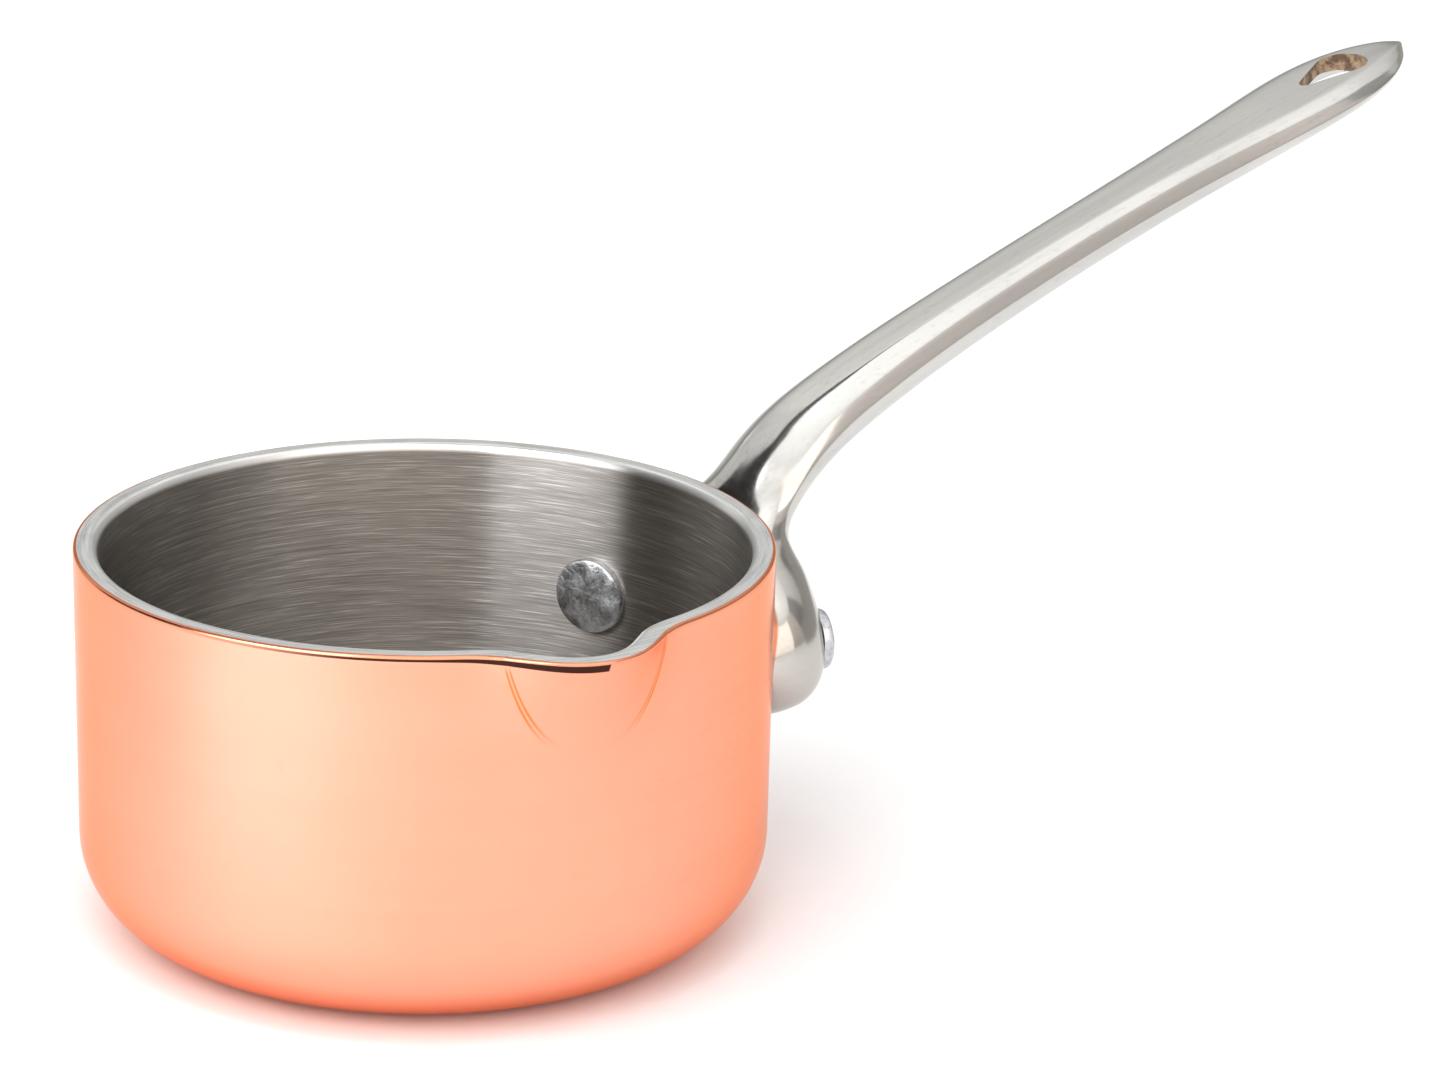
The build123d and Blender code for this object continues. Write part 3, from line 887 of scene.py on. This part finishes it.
def rivet_object(name, side, look):
    """A set rivet: turned profile along its own axis, heads slightly uneven from the hammer."""
    liner = PAN_RADIUS - WALL
    profile = rivet_profile(liner)
    turn = Matrix.Rotation(side * RIVET_ANGLE, 3, "Z")
    lift = Vector((0, 0, RIVET_HEIGHT))
    vertices = []
    for radius, reach in profile:
        for step in range(RIVET_STEPS):
            angle = 2 * math.pi * step / RIVET_STEPS
            y, z = radius * math.cos(angle), radius * math.sin(angle)
            x = reach
            if radius == INNER_HEAD_RADIUS and reach == liner:
                x = math.sqrt(liner**2 - y * y)      # the head's back follows the round lining
            dent = noise.noise(Vector((x, y, z + HAMMER_SHIFT * side)) * HAMMER_SCALE)
            if radius > SHANK_RADIUS:
                swell = 1 + HAMMER_SWELL * dent
                y, z = y * swell, z * swell
            if reach < liner - INNER_FACE_GAP:
                x += HAMMER_INNER * dent
            elif reach > BOSS_FACE + OUTER_FACE_GAP:
                x -= HAMMER_OUTER * abs(dent)
            vertices.append(turn @ Vector((x, y, z)) + lift)
    faces = row_faces(len(profile), RIVET_STEPS)
    inner_middle = liner - INNER_HEAD_THICKNESS - 0.14
    outer_middle = BOSS_FACE + OUTER_HEAD_THICKNESS
    for reach, row in ((inner_middle, 0), (outer_middle, len(profile) - 1)):
        add_cap(vertices, faces, turn @ Vector((reach, 0, 0)) + lift, row, RIVET_STEPS)
    return make_object(name, vertices, faces, [look], RIVET_SHARP_DEGREES)


rivet_look = rivet_material()
for name, node, side in (("rivet_left_set", "rivet_left", 1), ("rivet_right_set", "rivet_right", -1)):
    adopt(rivet_object(name, side, rivet_look), node)


# ---- Floor, light and camera --------------------------------------------------------------------------
FLOOR_HALF = 3000.0            # half the length of the floor's side


def make_floor():
    """The studio's floor: a wide plane at the height of the pan's base."""
    half = FLOOR_HALF
    corners = [(-half, -half, 0), (half, -half, 0), (half, half, 0), (-half, half, 0)]
    card = make_object("floor", corners, [(0, 1, 2, 3)], [floor_material()])


# The camera's place round the pan, in units of the pan's outer radius.
CAMERA_AZIMUTH = math.radians(-37.3)
CAMERA_DISTANCE = 10.892
CAMERA_HEIGHT = 4.685
CAMERA_PITCH = math.radians(18.066)
CAMERA_YAW = math.radians(4.373)
CAMERA_ROLL = math.radians(1.639)
CAMERA_LENS = 100.35
CAMERA_TURN = Matrix.Rotation(CAMERA_AZIMUTH, 3, "Z")

LIGHT_TARGET = Vector((0.02, 0, 0.03))
SPOT_SIZE = 0.05               # radius of the spots' lamps, in metres
PANEL_STEP = 6                 # degrees of a panel's columns
PANEL_ROWS = 8
WORLD_LIGHT = 1.15
TENT_RADIUS = 1.4
# Panels of the light tent round the pan: degrees round from the camera's side (right hand positive),
# degrees up, brightness at the bottom and top edges, and tint. Only reflections see them.
TENT = {
    "key_panel": (-75, -24, 4, 56, 5.2, 5.2, (1.0, 0.985, 1.0)),
    "front_panel": (-24, 58, 4, 56, 1.9, 2.2, (1.0, 0.93, 0.86)),
    "side_panel": (58, 92, 4, 56, 0.66, 0.95, (1.0, 0.93, 0.885)),
    "right_flag": (92, 150, 0, 24, 0.50, 0.45, (1.0, 0.96, 0.92)),
    "right_upper_panel": (92, 122, 24, 56, 0.32, 0.5, (1.0, 0.98, 0.96)),
    "nose_panel": (122, 150, 24, 56, 0.7, 1.1, (1.0, 0.99, 0.98)),
    "left_back_panel": (-145, -126, 0, 28, 0.75, 0.8, (1.0, 1.0, 0.98)),
    "left_flag": (-126, -75, 0, 28, 0.02, 0.02, (1.0, 1.0, 1.0)),
    "left_upper_flag": (-116, -75, 28, 56, 0.02, 0.05, (1.0, 1.0, 1.0)),
    "left_upper_panel": (-150, -116, 28, 56, 0.75, 1.0, (1.0, 1.0, 0.99)),
    "back_low_panel": (150, 215, 0, 9, 0.62, 0.62, (0.97, 1.0, 0.95)),
    "back_flag": (150, 215, 9, 20, 0.38, 0.38, (1.0, 0.99, 0.96)),
    "back_panel": (150, 210, 20, 56, 0.62, 1.15, (1.0, 1.0, 0.98)),
    "shoulder_panel": (-75, 92, 56, 74, 1.2, 1.6, (1.0, 0.995, 0.985)),
    "bevel_panel": (92, 180, 56, 74, 1.35, 1.6, (1.0, 0.995, 0.985)),
    "shoulder_flag": (180, 285, 56, 74, 0.05, 0.25, (1.0, 0.995, 0.985)),
    "top_panel": (-180, 180, 74, 90, 1.6, 1.9, (1.0, 0.995, 0.985)),
}


def studio_direction(azimuth, elevation):
    """Unit direction from the pan, in degrees round from the camera's side and up."""
    a, e = math.radians(azimuth), math.radians(elevation)
    return CAMERA_TURN @ Vector((math.sin(a) * math.cos(e), -math.cos(a) * math.cos(e), math.sin(e)))


def make_camera():
    """The photo's camera: placed round the pan, then turned aside, down and over."""
    camera = bpy.data.objects.new("camera", bpy.data.cameras.new("camera"))
    bpy.context.scene.collection.objects.link(camera)
    camera.data.lens = CAMERA_LENS
    camera.data.sensor_width = 36
    camera.data.clip_start, camera.data.clip_end = 0.01, 20
    forward = Vector((
        math.sin(CAMERA_YAW) * math.cos(CAMERA_PITCH),
        math.cos(CAMERA_YAW) * math.cos(CAMERA_PITCH),
        -math.sin(CAMERA_PITCH),
    ))
    right = Vector((math.cos(CAMERA_YAW), -math.sin(CAMERA_YAW), 0))
    up = right.cross(forward)
    tilted_right = right * math.cos(CAMERA_ROLL) + up * math.sin(CAMERA_ROLL)
    tilted_up = up * math.cos(CAMERA_ROLL) - right * math.sin(CAMERA_ROLL)
    facing = Matrix((tilted_right, tilted_up, -forward)).transposed()
    unit = PAN_RADIUS * MM
    place = CAMERA_TURN @ Vector((0, -CAMERA_DISTANCE * unit, CAMERA_HEIGHT * unit))
    camera.matrix_world = Matrix.Translation(place) @ (CAMERA_TURN @ facing).to_4x4()
    bpy.context.scene.camera = camera


def soft_light(name, azimuth, elevation, distance, size, power):
    """A square lamp aimed at the pan, kept out of reflections."""
    light = bpy.data.lights.new(name, "AREA")
    light.shape = "SQUARE"
    light.size = size
    light.energy = power
    lamp = bpy.data.objects.new(name, light)
    bpy.context.scene.collection.objects.link(lamp)
    direction = studio_direction(azimuth, elevation)
    lamp.location = LIGHT_TARGET + direction * distance
    lamp.rotation_mode = "QUATERNION"
    lamp.rotation_quaternion = direction.to_track_quat("Z", "Y")
    lamp.visible_glossy = False


def make_world():
    """Even white light from all round."""
    world = bpy.data.worlds.new("studio")
    bpy.context.scene.world = world
    world.use_nodes = True
    background = world.node_tree.nodes["Background"]
    background.inputs["Color"].default_value = (1, 1, 1, 1)
    background.inputs["Strength"].default_value = WORLD_LIGHT


def tent_panel(name, start, stop, low, high, bottom, top, tint):
    """One glowing panel of the tent, seen in reflections only."""
    shader = Shader(name, 0.0, tint)
    glow = shader.tree.nodes.new("ShaderNodeEmission")
    glow.inputs["Color"].default_value = (*tint, 1)
    levels = [TENT_RADIUS * math.sin(math.radians(angle)) for angle in (low, high)]
    shader.put(glow.inputs["Strength"], shader.span(shader.position()[3], *levels, bottom, top))
    shader.tree.links.new(glow.outputs[0], shader.tree.nodes["Material Output"].inputs["Surface"])
    columns = max(2, int((stop - start) / PANEL_STEP))
    vertices, faces = [], []
    for row in range(PANEL_ROWS + 1):
        elevation = low + (high - low) * row / PANEL_ROWS
        for column in range(columns + 1):
            azimuth = start + (stop - start) * column / columns
            vertices.append(studio_direction(azimuth, elevation) * TENT_RADIUS / MM)
    for row in range(PANEL_ROWS):
        for column in range(columns):
            low_left = row * (columns + 1) + column
            faces.append((low_left, low_left + 1, low_left + columns + 2, low_left + columns + 1))
    panel = make_object(name, vertices, faces, [shader.material])
    for ray in ("camera", "diffuse", "transmission", "volume_scatter", "shadow"):
        setattr(panel, "visible_" + ray, False)


def floor_spot(name, azimuth, distance, height, cone, power, color):
    """A soft pool of light on the floor beside the pan, which the copper mirrors."""
    light = bpy.data.lights.new(name, "SPOT")
    light.energy = power
    light.color = color
    light.spot_size = math.radians(cone)
    light.spot_blend = 1.0
    light.shadow_soft_size = SPOT_SIZE
    lamp = bpy.data.objects.new(name, light)
    bpy.context.scene.collection.objects.link(lamp)
    a = math.radians(azimuth)
    lamp.location = CAMERA_TURN @ Vector((distance * math.sin(a), -distance * math.cos(a), height))
    lamp.visible_glossy = False


make_floor()
make_camera()
make_world()
for name, panel in TENT.items():
    tent_panel(name, *panel)
soft_light("key", -40, 55, 0.9, 0.8, 3.0)
floor_spot("pool", -50, 0.14, 0.40, 26, 5.0, (0.92, 0.80, 1.18))
floor_spot("front_pool", 0, 0.09, 0.40, 34, 0.8, (0.9, 0.95, 1.25))
bpy.context.scene.view_settings.view_transform = "Standard"
